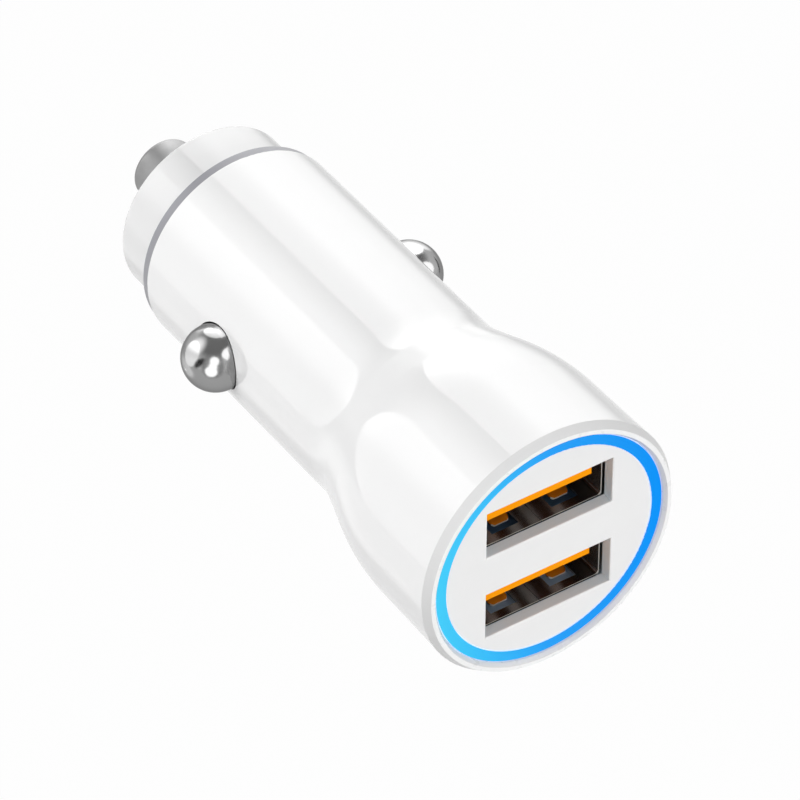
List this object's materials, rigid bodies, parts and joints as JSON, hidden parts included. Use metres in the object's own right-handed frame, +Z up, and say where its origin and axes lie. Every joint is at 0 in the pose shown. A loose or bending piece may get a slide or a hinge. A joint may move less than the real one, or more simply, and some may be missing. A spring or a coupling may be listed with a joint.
{
  "type": "car usb charger plug",
  "caption": "Round plug for a car power socket: flared head with USB charging ports inside a lit ring, straight barrel with sprung side contacts, nose collar and sprung centre pin.",
  "frame": {"origin": "on the plug's axis at the waist, where the flared head meets the barrel and the mouth of the car's socket", "axes": "+Y along the axis from the ported front face to the tip, +Z up with the ports one above the other, side contacts on +X and -X"},
  "size_m": [0.0274, 0.0641, 0.0264],
  "materials": {
    "white_gloss": "polished white moulding",
    "panel_white": "fine satin white moulding",
    "ring_blue": "translucent light guide, lit blue",
    "seam_grey": "satin grey",
    "contact_chrome": "polished nickel plate",
    "pin_nickel": "turned, satin nickel plate",
    "spring_steel": "drawn wire",
    "tinned_brass": "tinned",
    "carrier_black": "black moulding",
    "socket_steel": "nickel plated sheet",
    "tongue_orange": "orange moulding",
    "pin_tin": "dull tin plate",
    "pad_slate": "slate blue moulding",
    "board_green": "green solder mask",
    "led_white": "clear epoxy",
    "ferrite": "sintered",
    "copper": "enamelled wire",
    "can_aluminium": "drawn can",
    "chip_black": "moulded epoxy",
    "ceramic_tan": "fired ceramic"
  },
  "bodies": {
    "body": {"housing": "white_gloss", "nose_collar": "white_gloss", "front_panel": "panel_white", "light_guide": "ring_blue", "seam_ring": "seam_grey", "left_spring": "spring_steel", "right_spring": "spring_steel", "centre_spring": "spring_steel", "centre_terminal": "tinned_brass", "contact_carrier": "carrier_black", "upper_usb_shell": "socket_steel", "lower_usb_shell": "socket_steel", "upper_usb_tongue": "tongue_orange", "lower_usb_tongue": "tongue_orange", "upper_usb_pins": "pin_tin", "lower_usb_pins": "pin_tin", "upper_socket_pad": "pad_slate", "lower_socket_pad": "pad_slate", "port_board": "board_green", "main_board": "board_green", "ring_leds": "led_white", "inductor_core": "ferrite", "inductor_winding": "copper", "input_capacitor": "can_aluminium", "output_capacitor": "can_aluminium", "buck_controller": "chip_black", "port_controller": "chip_black", "rectifier_diode": "chip_black", "chip_resistors": "chip_black", "chip_capacitors": "ceramic_tan"},
    "centre_pin": {"centre_contact": "pin_nickel"},
    "left_button": {"left_contact": "contact_chrome"},
    "right_button": {"right_contact": "contact_chrome"}
  },
  "joints": [
    {"name": "centre_press", "type": "slide", "parent": "body", "child": "centre_pin", "axis": [0, -1, 0], "range_m": [0, 0.0035], "stiffness_N_per_m": 1000, "springref_m": -0.003, "deforming": ["centre_spring"]},
    {"name": "left_press", "type": "slide", "parent": "body", "child": "left_button", "axis": [1, 0, 0], "range_m": [0, 0.003], "stiffness_N_per_m": 800, "springref_m": -0.002, "deforming": ["left_spring"]},
    {"name": "right_press", "type": "slide", "parent": "body", "child": "right_button", "axis": [-1, 0, 0], "range_m": [0, 0.003], "stiffness_N_per_m": 800, "springref_m": -0.002, "deforming": ["right_spring"]}
  ]
}
